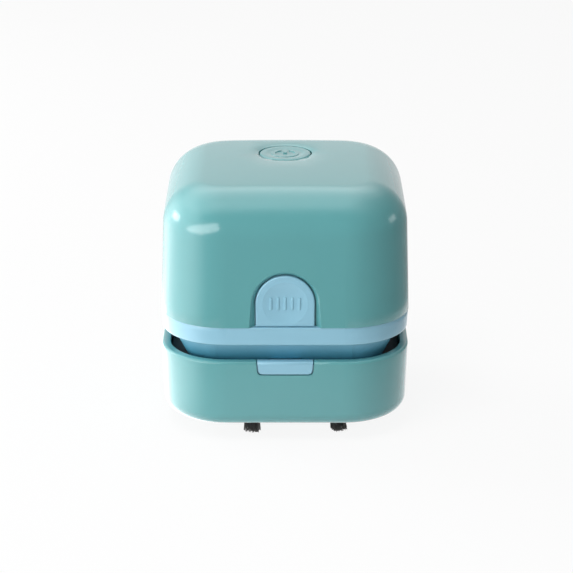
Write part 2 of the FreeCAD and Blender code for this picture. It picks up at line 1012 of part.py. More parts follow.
def make_motor_plate():
    wide = half - plate.plate_inset
    corner = body.corner_radius - plate.plate_corner_step
    board = pad(
        "plate_board", "XY", z_plate, plate.plate_thickness, draw_rounded, wide, wide, corner
    )
    collar = cylinder(
        "plate_collar",
        motor.motor_radius + body.fit_gap + plate.collar_wall,
        plate.collar_height + plate.plate_thickness,
        z=z_plate,
    )
    front, back = battery_span()
    side = battery_half_width() + battery.battery_gap
    cradle = box(
        "plate_cradle",
        (-side - plate.cradle_wall, front, z_plate),
        (
            side + plate.cradle_wall,
            back + battery.battery_gap + plate.cradle_wall,
            z_plate_top + plate.cradle_height,
        ),
    )
    bay = box(
        "plate_bay",
        (-side, front - body.cut_overrun * 2, z_plate_top),
        (side, back + battery.battery_gap, z_plate_top + plate.cradle_height + body.cut_overrun),
    )
    stands = [
        cylinder(f"board_post_{i}", port.board_post_radius, port.board_lift, x, board_post_y(), z_plate_top)
        for i, x in enumerate((-port.board_post_spacing / 2, port.board_post_spacing / 2))
    ]
    spring_back = spring_seat_y()
    spring_stop = box(
        "spring_stop",
        (
            -latch.arm_half_width,
            spring_back,
            z_plate,
        ),
        (
            latch.arm_half_width,
            spring_back + plate.cradle_wall,
            z_shell + latch.spring_rise + latch.spring_radius + latch.spring_wire * 2,
        ),
    )
    cradled = cut("plate_cradled", cradle, [bay])
    full = fuse("plate_full", [board, collar, cradled, spring_stop, *stands])
    arm_slot = box(
        "plate_arm_slot",
        (
            -latch.arm_half_width - body.moving_gap,
            -arm_front() - body.cut_overrun * 3,
            z_plate - body.cut_overrun,
        ),
        (
            latch.arm_half_width + body.moving_gap,
            spring_back,
            z_plate_top + body.cut_overrun,
        ),
    )
    flange_side = latch.latch_radius + latch.latch_flange + body.moving_gap
    flange_notch = box(
        "plate_flange_notch",
        (-flange_side, -half, z_plate - body.cut_overrun),
        (
            flange_side,
            -latch_flange_back() + latch.latch_travel + latch.latch_travel_gap,
            z_plate_top + body.cut_overrun,
        ),
    )
    holes = [
        cylinder("plate_motor_seat", motor.motor_radius + body.fit_gap, half, z=z_plate_top),
        cylinder(
            "plate_bush_hole", motor.motor_bush_radius + body.fit_gap, half, z=z_plate - body.cut_overrun
        ),
    ]
    clear = posts.screw_radius + posts.screw_clearance
    for i, (x, y) in enumerate(corners(post_place, post_place)):
        holes.append(cylinder(f"plate_hole_{i}", clear, half, x, y, z_plate - body.cut_overrun))
    for i, x in enumerate((-motor.motor_screw_offset, motor.motor_screw_offset)):
        holes.append(
            cylinder(
                f"plate_screw_hole_{i}",
                switch.small_screw_radius + body.fit_gap,
                plate.plate_thickness * 2,
                x,
                0,
                z_plate - body.cut_overrun / 2,
            )
        )
    for i, x in enumerate((-port.board_post_spacing / 2, port.board_post_spacing / 2)):
        holes.append(
            cylinder(
                f"board_post_hole_{i}",
                switch.small_screw_radius + body.fit_gap / 2,
                port.board_lift,
                x,
                board_post_y(),
                z_plate_top + body.shell_wall,
            )
        )
    return cut("motor_plate_body", full, [arm_slot, flange_notch, *holes])


def battery_span():
    """Where the battery starts behind the motor, and ends in front of the control board."""
    front = motor.motor_radius + body.fit_gap + plate.collar_wall + battery.battery_gap
    return front, board_back() - port.board_depth - battery.battery_back_gap


def battery_half_width():
    return boss_inner - battery.battery_side_gap


def latch_flange_front():
    """How far in front of the middle the latch button's flange bears on the shell's inside."""
    return half - body.shell_wall - body.moving_gap - body.upper_taper / 2


def latch_flange_back():
    return latch_flange_front() - latch.latch_flange_thickness


def arm_front():
    """How far in front of the middle the latch arm's front face is."""
    return neck_half - latch.arm_inset


def spring_seat_y():
    return -arm_front() + latch.arm_thickness + latch.latch_travel + body.moving_gap


def board_post_y():
    return board_back() - port.board_post_reach


def board_back():
    return half - body.shell_wall - port.board_back_gap - body.upper_taper / 2


# Housing: shell, buttons and what they work on


def make_upper_shell():
    outer = dome("shell_outer", zero)
    inner = dome_room()
    middle = dome("shell_middle", body.shell_wall / 2)
    hollow = cut("shell_hollow", outer, [inner])
    bosses = [
        roof_boss(f"shell_boss_{i}", posts.boss_radius, z_plate_top, x, y, middle)
        for i, (x, y) in enumerate(corners(post_place, post_place))
    ]
    board_top = switch_board_z() + switch.board_thickness
    spread = switch_boss_x()
    bosses += [
        roof_boss(f"switch_boss_{i}", switch.switch_boss_radius, board_top, x, button_y, middle)
        for i, x in enumerate((-spread, spread))
    ]
    full = fuse("shell_full", [hollow, *bosses])
    opening = cylinder(
        "button_opening",
        button.button_radius + button.button_gap,
        body.shell_wall * 4,
        0,
        button_y,
        z_top - body.shell_wall * 3,
    )
    well = button.well_radius * button.well_radius / (button.well_depth * 2)
    dish = sphere("button_well", well, 0, button_y, z_top - button.well_depth + well)
    spring = z_shell + latch.latch_height - latch.latch_radius
    inner_arch = latch.latch_radius + latch.latch_gap
    low = z_shell - body.cut_overrun
    doorway = pad(
        "latch_doorway",
        "XZ",
        half - body.shell_wall * 2,
        body.shell_wall * 2 + body.cut_overrun,
        draw_arch,
        inner_arch,
        inner_arch,
        low,
        spring,
    )
    step = latch_face - latch.latch_thickness / 2
    bevel = tapered(
        "latch_bevel",
        "XZ",
        step,
        half + body.fit_gap - step,
        latch.latch_bevel,
        draw_arch,
        inner_arch + latch.latch_flare,
        inner_arch,
        low,
        spring,
    )
    pilots = []
    for i, (x, y) in enumerate(corners(post_place, post_place)):
        pilots.append(
            cylinder(
                f"shell_pilot_{i}",
                posts.screw_radius + body.fit_gap / 2,
                posts.screw_bite + body.cut_overrun * 2,
                x,
                y,
                z_plate_top - body.cut_overrun,
            )
        )
    for i, x in enumerate((-spread, spread)):
        pilots.append(
            cylinder(
                f"switch_pilot_{i}",
                switch.small_screw_radius + body.fit_gap / 2,
                switch.small_screw_length + body.cut_overrun,
                x,
                button_y,
                board_top - body.cut_overrun,
            )
        )
    socket_z = z_board_top() + port.socket_height / 2
    slot = pad(
        "port_slot",
        "XZ",
        -half - body.cut_overrun,
        body.shell_wall * 2 + body.cut_overrun,
        draw_rounded,
        port.socket_width / 2 + port.port_margin,
        port.socket_height / 2 + port.port_margin,
        port.socket_height / 2,
        zero,
        socket_z,
    )
    lamp_hole = cylinder(
        "lamp_hole",
        port.lamp_radius + body.fit_gap / 2,
        body.shell_wall * 4,
        port.lamp_side,
        half - body.shell_wall * 2,
        z_board_top() + port.lamp_radius,
        "y",
    )
    return cut("upper_shell_body", full, [opening, dish, doorway, bevel, slot, lamp_hole, *pilots])


def switch_board_z():
    """The underside of the switch board, which hangs below the power button."""
    stem = z_ceiling - button.button_flange_drop - button.button_flange_thickness
    plunger_show = switch.plunger_length - switch.switch_height / 2
    return stem - plunger_show - switch.switch_height - switch.board_thickness


def switch_board_half():
    return boss_inner - switch.switch_board_gap


def switch_boss_x():
    return switch_board_half() - switch.switch_boss_inset


def z_board():
    return z_plate_top + port.board_lift


def z_board_top():
    return z_board() + switch.board_thickness


def make_power_button():
    top = z_top - button.button_sink
    flange_top = z_ceiling - button.button_flange_drop
    flange_low = flange_top - button.button_flange_thickness
    outer = button.button_radius
    inner = outer - button.button_wall
    stem = switch.plunger_radius * 1.6
    cap = revolve(
        "button_cap",
        [
            (zero, flange_low),
            (stem, flange_low),
            (stem, top - button.button_wall),
            (inner, top - button.button_wall),
            (inner, flange_low),
            (outer + button.button_flange, flange_low),
            (outer + button.button_flange, flange_top),
            (outer, flange_top),
            (outer, top),
            (zero, top),
        ],
    )
    rounded("button_cap", cap, button.button_edge, at_level(top))
    place(cap, 0, button_y, 0)
    depth = button.button_dish_depth
    ball = button.button_dish_radius * button.button_dish_radius / (depth * 2)
    dished = cut("button_dished", cap, [sphere("button_dish", ball, 0, button_y, top - depth + ball)])
    low, high = top - depth * 2, top - button.icon_sink
    ring = tube(
        "icon_ring",
        button.icon_radius,
        button.icon_radius - button.icon_stroke,
        high - low,
        0,
        button_y,
        low,
    )
    back = button_y + button.icon_radius
    opening = box(
        "icon_opening",
        (-button.icon_gap / 2, button_y, low),
        (button.icon_gap / 2, back + body.cut_overrun, high),
    )
    stroke = button.icon_stroke / 2
    bar = box(
        "icon_bar",
        (-stroke, button_y + stroke, low),
        (stroke, back + stroke, high),
    )
    return fuse("power_button_body", [dished, cut("icon_arc", ring, [opening]), bar])


def make_switch_plunger():
    top = z_ceiling - button.button_flange_drop - button.button_flange_thickness
    return cylinder(
        "plunger_rod", switch.plunger_radius, switch.plunger_length, 0, button_y,
        top - switch.plunger_length,
    )


def make_push_switch():
    low = switch_board_z() + switch.board_thickness
    wide = switch.switch_width / 2
    case = pad(
        "switch_case",
        "XY",
        low,
        switch.switch_height,
        draw_rounded,
        wide,
        wide,
        wide / 5,
        zero,
        button_y,
    )
    well = cylinder(
        "switch_well",
        switch.plunger_radius + body.fit_gap,
        switch.switch_height,
        0,
        button_y,
        low + switch.switch_height / 5,
    )
    return cut("push_switch_body", case, [well])


def make_switch_board():
    spread = switch_boss_x()
    board = pad(
        "switch_board_plate",
        "XY",
        switch_board_z(),
        switch.board_thickness,
        draw_rounded,
        switch_board_half(),
        switch.switch_board_width / 2,
        switch.switch_boss_radius / 2,
        zero,
        button_y,
    )
    holes = [
        cylinder(
            f"switch_board_hole_{i}",
            switch.small_screw_radius + body.fit_gap,
            switch.board_thickness * 3,
            x,
            button_y,
            switch_board_z() - switch.board_thickness,
        )
        for i, x in enumerate((-spread, spread))
    ]
    return cut("switch_board_body", board, holes)


def screw(label, radius, length, head_radius, head_height, x, y, z, up=True):
    """A pan-head screw. z is the face under its head; the shank goes up or down from there."""
    if up:
        shank = cylinder(label + "_shank", radius, length, x, y, z)
        head = cylinder(label + "_head", head_radius, head_height, x, y, z - head_height)
        cross = z - head_height
    else:
        shank = cylinder(label + "_shank", radius, length, x, y, z - length)
        head = cylinder(label + "_head", head_radius, head_height, x, y, z)
        cross = z + head_height / 2
    long, thin = head_radius * 0.6, head_radius * 0.15
    depth = head_height / 2
    recess = [
        box(label + "_slot_x", (x - long, y - thin, cross), (x + long, y + thin, cross + depth)),
        box(label + "_slot_y", (x - thin, y - long, cross), (x + thin, y + long, cross + depth)),
    ]
    return cut(label, fuse(label + "_blank", [shank, head]), recess)


def make_housing_screws():
    head_z = z_neck + posts.screw_head_height
    length = z_plate_top - head_z + posts.screw_bite
    screws = [
        screw(
            f"housing_screw_{i}",
            posts.screw_radius,
            length,
            posts.screw_head_radius,
            posts.screw_head_height,
            x,
            y,
            head_z + body.fit_gap * 2,
        )
        for i, (x, y) in enumerate(corners(post_place, post_place))
    ]
    return group("housing_screws_body", screws)


def small_screws(label, places, z, up, length):
    screws = [
        screw(
            f"{label}_{i}",
            switch.small_screw_radius,
            length,
            switch.small_head_radius,
            switch.small_head_height,
            x,
            y,
            z,
            up,
        )
        for i, (x, y) in enumerate(places)
    ]
    return group(label + "_body", screws)


def group(label, things):
    """Several separate solids as one compound."""
    thing = doc.addObject("Part::Compound", label)
    thing.Links = things
    return thing


def make_latch_button():
    spring = z_shell + latch.latch_height - latch.latch_radius
    lift = latch.latch_foot_gap
    face = pad(
        "latch_face_plate",
        "XZ",
        latch_face - latch.latch_thickness,
        latch.latch_thickness,
        draw_arch,
        latch.latch_radius,
        latch.latch_radius,
        z_shell + lift,
        spring,
    )
    rounded(
        "latch_face",
        face,
        latch.latch_edge,
        lambda e: e.BoundBox.YMax < number(-latch_face) + number(body.fit_gap),
    )
    flange_front, flange_back = latch_flange_front(), latch_flange_back()
    wide = latch.latch_radius + latch.latch_flange
    flange = pad(
        "latch_flange_plate",
        "XZ",
        flange_back,
        latch.latch_flange_thickness,
        draw_arch,
        wide,
        wide,
        z_shell + lift,
        spring,
    )
    joiner = pad(
        "latch_joiner",
        "XZ",
        flange_back,
        latch_face - latch.latch_thickness / 2 - flange_back,
        draw_arch,
        latch.latch_radius,
        latch.latch_radius,
        z_shell + lift,
        spring,
    )
    arm_y = -arm_front()
    wide = latch.arm_half_width
    nose_low = z_neck_floor + latch.nose_height / 5 + body.moving_gap
    bridge_low = z_plate_top + body.fit_gap * 4
    bridge_high = bridge_low + latch.arm_thickness
    bridge = box(
        "latch_bridge", (-wide, -flange_front, bridge_low), (wide, arm_y + latch.arm_thickness, bridge_high)
    )
    arm = box(
        "latch_arm", (-wide, arm_y, nose_low), (wide, arm_y + latch.arm_thickness, bridge_high)
    )
    nose_tip = half - rim.rim_wall - body.moving_gap
    nose = box(
        "latch_nose",
        (-wide, -nose_tip, nose_low),
        (wide, arm_y + latch.arm_thickness, nose_low + latch.nose_height),
    )
    ball = (latch.dish_radius * latch.dish_radius + latch.dish_depth * latch.dish_depth) / (
        latch.dish_depth * 2
    )
    dish = sphere("latch_dish", ball, 0, -latch_face - ball + latch.dish_depth, grip_z(), False)
    blank = fuse("latch_blank", [face, flange, joiner, bridge, arm, nose])
    tips = ball - latch.grip_rise
    hollow = sphere("grip_dish", tips, 0, -latch_face - ball + latch.dish_depth, grip_z(), False)
    grips = []
    high = latch.grip_height / 2
    for i in range(grip_count):
        x = latch.grip_pitch * (i - (grip_count - 1) / 2)
        grips.append(
            box(
                f"grip_{i}",
                (x - latch.grip_width / 2, -latch_face, grip_z() - high),
                (x + latch.grip_width / 2, -latch_face + latch.latch_thickness / 2, grip_z() + high),
            )
        )
    ribs = cut("grip_ribs", fuse("grip_blanks", grips), [hollow])
    return fuse("latch_button_body", [cut("latch_dished", blank, [dish]), ribs])


def grip_z():
    """The height of the middle of the latch button's finger dish."""
    return z_shell + latch.latch_height - latch.latch_radius


def make_latch_spring():
    """A coil spring between the latch button's back and its stop, wound about Y."""
    front = -latch_flange_back()
    back = spring_seat_y()
    wire = number(latch.spring_wire)
    clear = number(body.fit_gap)
    length = number(back) - number(front) - wire * 2 - clear * 2
    helix = Part.makeHelix(length / spring_turns, length, number(latch.spring_radius))
    section = Part.Wire(
        Part.makeCircle(wire, Vector(number(latch.spring_radius), 0, 0), Vector(0, 1, 0))
    )
    coil = Part.Wire(helix).makePipeShell([section], True, True)
    thing = doc.addObject("Part::Feature", "latch_spring_body")
    thing.Shape = coil
    start = number(front) + wire + clear
    level = number(z_shell + latch.spring_rise)
    thing.Placement = Placement(Vector(0, start, level), turns["y"])
    return thing


# Housing: motor, fan cover, battery and charging board


def make_motor_can():
    low = z_plate_top
    can = tube_closed(
        "can", motor.motor_radius, motor.motor_wall, motor_cap_z() - z_plate_top, low
    )
    holes = [
        cylinder("can_bush_hole", motor.motor_bush_radius, motor.motor_wall * 3, z=low - motor.motor_wall),
    ]
    for i, x in enumerate((-motor.motor_screw_offset, motor.motor_screw_offset)):
        holes.append(
            cylinder(
                f"can_screw_hole_{i}",
                switch.small_screw_radius + body.fit_gap / 2,
                motor.motor_wall * 3,
                x,
                0,
                low - motor.motor_wall,
            )
        )
    return cut("motor_can_body", can, holes)


def tube_closed(label, radius, wall, height, z):
    """A round can, closed at its foot."""
    return cut(
        label + "_cup",
        cylinder(label + "_wall", radius, height, z=z),
        [cylinder(label + "_room", radius - wall, height, z=z + wall)],
    )


def motor_cap_z():
    """The underside of the motor's end cap, which stays clear of the switch board over it."""
    return switch_board_z() - motor.motor_head_gap - motor.motor_cap_height


def magnet_length():
    return motor_cap_z() - z_plate_top - motor.motor_wall - motor.magnet_end_gap * 2


def rotor_length():
    return magnet_length() - motor.rotor_end_gap * 2


def make_motor_cap():
    cap = cylinder("cap_disc", motor.motor_radius, motor.motor_cap_height, z=motor_cap_z())
    plug = cylinder(
        "cap_plug",
        motor.motor_radius - motor.motor_wall,
        motor.motor_cap_height,
        z=motor_cap_z() - motor.motor_cap_height / 2,
    )
    hole = cylinder("cap_bush_hole", motor.motor_bush_radius, half, z=motor_cap_z() - motor.motor_cap_height)
    return cut("motor_cap_body", fuse("cap_full", [cap, plug]), [hole])


def make_motor_bushes():
    inner = motor.motor_shaft_radius + motor.bush_clearance
    low = tube("bush_low", motor.motor_bush_radius, inner, motor.motor_bush_height, z=bush_low_z())
    high = tube(
        "bush_high",
        motor.motor_bush_radius,
        inner,
        motor.motor_bush_height,
        z=motor_cap_z() - motor.motor_cap_height / 2,
    )
    return group("motor_bushes_body", [low, high])


def bush_low_z():
    return z_plate_top + motor.motor_wall - motor.motor_bush_height


def make_motor_magnets():
    outer = motor.motor_radius - motor.motor_wall
    low = z_plate_top + motor.motor_wall + (motor_cap_z() - z_plate_top - magnet_length()) / 3
    ring = tube("magnet_ring", outer, outer - motor.magnet_thickness, magnet_length(), z=low)
    split = box(
        "magnet_split",
        (-outer / 3, -outer - body.cut_overrun, low - body.cut_overrun),
        (outer / 3, outer + body.cut_overrun, low + magnet_length() + body.cut_overrun),
    )
    return cut("motor_magnets_body", ring, [split])


def make_rotor():
    low = z_plate_top + motor.motor_wall + (motor_cap_z() - z_plate_top - rotor_length()) / 3
    core = tube(
        "rotor_core", motor.rotor_radius, motor.motor_shaft_radius, rotor_length(), z=low
    )
    slot = box(
        "rotor_slot",
        (motor.rotor_radius / 2, -motor.terminal_width / 2, low - body.cut_overrun),
        (motor.rotor_radius * 2, motor.terminal_width / 2, low + rotor_length() + body.cut_overrun),
    )
    slots = all_round("rotor_slot", slot, 3)
    return cut("motor_rotor_body", core, slots)


def fan_top():
    return z_plate - fan.fan_running_gap


def make_motor_shaft():
    low = fan_top() - fan.fan_height
    high = motor_cap_z() + motor.motor_cap_height / 2
    return cylinder("shaft_rod", motor.motor_shaft_radius, high - low, z=low)


def make_impeller():
    """The fan: a disc with a hub, and curved blades that hang from it over the eye of its cover."""
    top = fan_top()
    low = top - fan.fan_height
    radius = neck_half - fan.fan_margin
    disc = cylinder("fan_disc_plate", radius, fan.fan_disc, z=top - fan.fan_disc)
    hub = cylinder("fan_hub", fan.fan_hub_radius, fan.fan_height, z=low)
    bend = radius * blade_bend_share
    aside, below = radius * blade_aside_share, -bend
    blade_high = fan.fan_height - fan.fan_disc / 2
    thick = fan.fan_blade / 2
    curve = tube("blade_curve", bend + thick, bend - thick, blade_high, aside, below, low)
    zone = tube("blade_zone", radius, fan.fan_hub_radius * 1.5, fan.fan_height, z=low)
    quarter = box(
        "blade_quarter", (aside, below, low), (radius * 2, zero + fan.fan_blade, low + fan.fan_height)
    )
    blade = common("blade", [curve, zone, quarter])
    blades = all_round("blade", blade, blade_count)
    bore = cylinder("fan_bore", motor.motor_shaft_radius, half, z=low - body.cut_overrun)
    return cut("impeller_body", fuse("fan_full", [disc, hub, *blades]), [bore])


def make_fan_cover():
    """The inlet plate over the filter: a shallow cup with a barred eye."""
    outer = neck_half - strainer.filter_margin + strainer.filter_play + cover.cover_wall
    low = z_neck_floor
    cup = cylinder("cover_cup", outer, cover.cover_height, z=low)
    room = cylinder(
        "cover_room", outer - cover.cover_wall, cover.cover_height - cover.cover_thickness, z=low
    )
    eye = cylinder("cover_eye", cover.cover_eye_radius, half, z=low)
    hollow = cut("cover_hollow", cup, [room, eye])
    top = low + cover.cover_height
    bar = box(
        "cover_bar_blank",
        (zero, -cover.cover_bar / 2, top - cover.cover_thickness),
        (cover.cover_eye_radius + cover.cover_wall, cover.cover_bar / 2, top),
    )
    bars = all_round("cover_bar", bar, 4, 45)
    hub = cylinder("cover_hub", cover.cover_bar * 2, cover.cover_thickness, z=top - cover.cover_thickness)
    return fuse("fan_cover_body", [hollow, hub, *bars])


def make_battery():
    front, back = battery_span()
    deep = (back - front) / 2
    return pad(
        "battery_block",
        "XY",
        z_plate_top,
        switch_board_z() - battery.battery_head_gap - z_plate_top,
        draw_rounded,
        battery_half_width(),
        deep,
        deep * battery_edge_share,
        zero,
        (front + back) / 2,
    )


def make_control_board():
    back = board_back()
    front = back - port.board_depth
    board = pad(
        "control_board_plate",
        "XY",
        z_board(),
        switch.board_thickness,
        draw_rounded,
        port.board_width / 2,
        port.board_depth / 2,
        port.board_post_radius / 2,
        zero,
        (front + back) / 2,
    )
    holes = [
        cylinder(
            f"control_board_hole_{i}",
            switch.small_screw_radius + body.fit_gap,
            switch.board_thickness * 3,
            x,
            board_post_y(),
            z_board() - switch.board_thickness,
        )
        for i, x in enumerate((-port.board_post_spacing / 2, port.board_post_spacing / 2))
    ]
    return cut("control_board_body", board, holes)


def make_usb_socket():
    back = half - body.shell_wall - body.upper_taper / 2 - body.moving_gap
    low = z_board_top()
    middle = low + port.socket_height / 2
    wide, high = port.socket_width / 2, port.socket_height / 2
    shell = pad(
        "socket_shell",
        "XZ",
        -back,
        port.socket_depth,
        draw_rounded,
        wide,
        high,
        high * 0.8,
        zero,
        middle,
    )
    room = pad(
        "socket_room",
        "XZ",
        -back - body.cut_overrun,
        port.socket_depth - port.socket_wall * 3 + body.cut_overrun,
        draw_rounded,
        wide - port.socket_wall,
        high - port.socket_wall,
        high * 0.8 - port.socket_wall,
        zero,
        middle,
    )
    tongue = box(
        "socket_tongue_plate",
        (-wide * 0.7, back - port.socket_depth, middle - port.socket_tongue / 2),
        (wide * 0.7, back - port.socket_wall * 3, middle + port.socket_tongue / 2),
    )
    return fuse("usb_socket_body", [cut("socket_hollow", shell, [room]), tongue])


def make_charge_lamp():
    return cylinder(
        "lamp_rod",
        port.lamp_radius,
        port.lamp_length,
        port.lamp_side,
        half - body.upper_taper / 2 - port.lamp_length,
        z_board_top() + port.lamp_radius,
        "y",
    )


def make_terminals():
    low = motor_cap_z() + motor.motor_cap_height
    side = leads.lead_spacing / 2
    blades = []
    for i, x in enumerate((-side, side)):
        blades.append(
            box(
                f"terminal_{i}",
                (x - motor.terminal_width / 2, -motor.terminal_thickness / 2, low),
                (x + motor.terminal_width / 2, motor.terminal_thickness / 2, low + motor.terminal_height),
            )
        )
    return group("motor_terminals_body", blades)


def make_lead(label, x):
    """An insulated lead from the control board, over the battery, to a motor terminal."""
    radius = number(leads.lead_radius)
    bend = number(leads.lead_bend)
    low = number(z_board_top())
    high = number(motor_cap_z() + motor.motor_cap_height + motor.terminal_height / 2)
    back = number(board_back() - port.board_depth + leads.lead_radius * 2)
    front = number(motor.terminal_thickness / 2)
    turn_y, turn_z = back - bend, high - bend
    diagonal = bend * 0.5 ** 0.5
    corner = Vector(x, turn_y + diagonal, turn_z + diagonal)
    path = Part.Wire(
        [
            Part.LineSegment(Vector(x, back, low), Vector(x, back, turn_z)).toShape(),
            Part.Arc(Vector(x, back, turn_z), corner, Vector(x, turn_y, high)).toShape(),
            Part.LineSegment(Vector(x, turn_y, high), Vector(x, front, high)).toShape(),
        ]
    )
    section = Part.Wire(Part.makeCircle(radius, Vector(x, back, low), Vector(0, 0, 1)))
    thing = doc.addObject("Part::Feature", label + "_body")
    thing.Shape = path.makePipeShell([section], True, False)
    return thing


# Filter, which plugs into the neck's floor from below


def filter_flange_top():
    return z_neck - body.moving_gap - strainer.filter_seal_thickness


def make_filter_frame():
    radius = neck_half - strainer.filter_margin
    flange_low = filter_flange_top() - strainer.filter_flange_thickness
    inner = radius - strainer.filter_wall
    wall = tube(
        "filter_wall_ring", radius, inner, strainer.filter_height, z=flange_low
    )
    flange = tube(
        "filter_flange_ring",
        radius + strainer.filter_flange,
        inner,
        strainer.filter_flange_thickness,
        z=flange_low,
    )
    bar = box(
        "filter_bar_blank",
        (zero, -strainer.filter_bar / 2, flange_low),
        (
            inner + strainer.filter_wall / 2,
            strainer.filter_bar / 2,
            flange_low + strainer.filter_flange_thickness,
        ),
    )
    bars = all_round("filter_bar", bar, 6)
    side = strainer.pull_width / 2
    pull = box(
        "filter_pull",
        (-side, inner, flange_low - strainer.pull_drop),
        (side, inner + strainer.pull_thickness, flange_low + strainer.filter_bar / 2),
    )
    return fuse("filter_frame_body", [wall, flange, pull, *bars])


def make_filter_cloth():
    """Pleated cloth: a zigzag sheet trimmed to the round frame."""
    radius = neck_half - strainer.filter_margin - strainer.filter_wall
    low = filter_flange_top()
    pitch = radius * 2 / pleat_count
    points = []
    count = pleat_count * 2
    for i in range(count + 1):
        x = pitch * (i - count / 2) / 2
        points.append((x, low + strainer.pleat_depth * (i % 2)))
    upper = [(x, z + strainer.pleat_cloth) for x, z in reversed(points)]
    sheet_body = pad("pleats", "XZ", -radius, radius * 2, draw_polygon, points + upper)
    disc = cylinder("cloth_disc", radius, strainer.filter_height * 2, z=z_neck - strainer.filter_height)
    return common("filter_cloth_body", [sheet_body, disc])


def make_filter_seal():
    radius = neck_half - strainer.filter_margin
    return tube(
        "filter_seal_ring",
        radius + strainer.filter_flange,
        radius + strainer.filter_play,
        strainer.filter_seal_thickness,
        z=filter_flange_top(),
    )


# Every separate piece, under its own name

lower_outer = lower_form()
piece("lower_shell", make_lower_shell(lower_outer))
piece("inlet_tube", make_inlet_tube())
piece("catch_tab", make_catch_tab(lower_outer))
piece("brush_ring", make_brush_ring())
piece("brush_tufts", group("brush_tufts_body", make_tufts("tuft")))
piece("base_chassis", make_chassis())
piece("neck_seal", make_neck_seal())
piece("motor_plate", make_motor_plate())
piece("upper_shell", make_upper_shell())
piece("power_button", make_power_button())
piece("switch_plunger", make_switch_plunger())
piece("push_switch", make_push_switch())
piece("switch_board", make_switch_board())
piece("housing_screws", make_housing_screws())
piece(
    "switch_screws",
    small_screws(
        "switch_screw",
        [(switch_boss_x() * side, button_y) for side in (-1, 1)],
        switch_board_z(),
        True,
        switch.small_screw_length,
    ),
)
piece(
    "board_screws",
    small_screws(
        "board_screw",
        [(port.board_post_spacing / 2 * side, board_post_y()) for side in (-1, 1)],
        z_board_top(),
        False,
        switch.small_screw_length,
    ),
)
piece(
    "motor_screws",
    small_screws(
        "motor_screw",
        [(motor.motor_screw_offset * side, zero) for side in (-1, 1)],
        z_plate,
        True,
        motor.motor_screw_length,
    ),
)
piece("latch_button", make_latch_button())
piece("latch_spring", make_latch_spring())
piece("motor_can", make_motor_can())
piece("motor_cap", make_motor_cap())
piece("motor_bushes", make_motor_bushes())
piece("motor_magnets", make_motor_magnets())
piece("motor_terminals", make_terminals())
piece("motor_rotor", make_rotor())
piece("motor_shaft", make_motor_shaft())
piece("impeller", make_impeller())
piece("fan_cover", make_fan_cover())
piece("battery_pack", make_battery())
piece("control_board", make_control_board())
piece("usb_socket", make_usb_socket())
piece("charge_lamp", make_charge_lamp())
piece("motor_lead_red", make_lead("motor_lead_red", number(leads.lead_spacing) / 2))
piece("motor_lead_black", make_lead("motor_lead_black", -number(leads.lead_spacing) / 2))
piece("filter_frame", make_filter_frame())
piece("filter_cloth", make_filter_cloth())
piece("filter_seal", make_filter_seal())

doc.recompute()

# Every object is sound before anything is written

for thing in doc.Objects:
    if "Invalid" in thing.State or "Error" in thing.State:
        raise RuntimeError(f"{thing.Label} failed: {thing.State}")
os.makedirs("parts", exist_ok=True)
for name, thing in pieces.items():
    shape = thing.Shape
    if shape.isNull() or not shape.isValid() or not shape.Solids:
        raise RuntimeError(f"{name} has no sound solid")
for name, thing in pieces.items():
    thing.Shape.exportStep(f"parts/{name}.step")
    print(name, len(thing.Shape.Solids), "solids", round(thing.Shape.Volume, 1), "mm3")
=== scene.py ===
import json
import math
import random

import bmesh
import bpy
from mathutils import Matrix, Quaternion, Vector


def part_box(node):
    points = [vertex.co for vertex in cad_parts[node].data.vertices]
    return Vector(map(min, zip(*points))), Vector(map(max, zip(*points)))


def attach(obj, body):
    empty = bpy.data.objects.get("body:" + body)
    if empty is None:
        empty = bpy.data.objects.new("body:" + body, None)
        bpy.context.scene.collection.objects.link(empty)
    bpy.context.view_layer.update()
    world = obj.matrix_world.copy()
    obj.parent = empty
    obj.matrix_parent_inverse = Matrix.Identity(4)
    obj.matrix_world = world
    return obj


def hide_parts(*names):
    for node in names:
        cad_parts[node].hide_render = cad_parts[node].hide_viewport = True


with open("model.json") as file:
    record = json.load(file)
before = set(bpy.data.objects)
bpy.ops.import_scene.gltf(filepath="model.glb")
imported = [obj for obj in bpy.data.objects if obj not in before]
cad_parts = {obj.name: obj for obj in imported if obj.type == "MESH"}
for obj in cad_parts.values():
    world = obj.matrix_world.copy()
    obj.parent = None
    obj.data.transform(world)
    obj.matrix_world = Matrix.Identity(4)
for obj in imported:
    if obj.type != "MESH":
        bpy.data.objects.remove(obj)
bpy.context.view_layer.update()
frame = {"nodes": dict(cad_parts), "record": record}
nodes = frame["nodes"]
mm = 0.001


# Shader building

class Wire:
    # a socket's output that can be used in sums

    def __init__(self, finish, socket):
        self.finish = finish
        self.socket = socket

    def sum(self, operation, first, second):
        return self.finish.wire("ShaderNodeMath", {"operation": operation}, {0: first, 1: second})

    def __add__(self, other):
        return self.sum("ADD", self, other)

    def __radd__(self, other):
        return self.sum("ADD", other, self)

    def __sub__(self, other):
        return self.sum("SUBTRACT", self, other)

    def __rsub__(self, other):
        return self.sum("SUBTRACT", other, self)

    def __mul__(self, other):
        return self.sum("MULTIPLY", self, other)

    def __rmul__(self, other):
        return self.sum("MULTIPLY", other, self)

    def __gt__(self, other):
        return self.sum("GREATER_THAN", self, other)


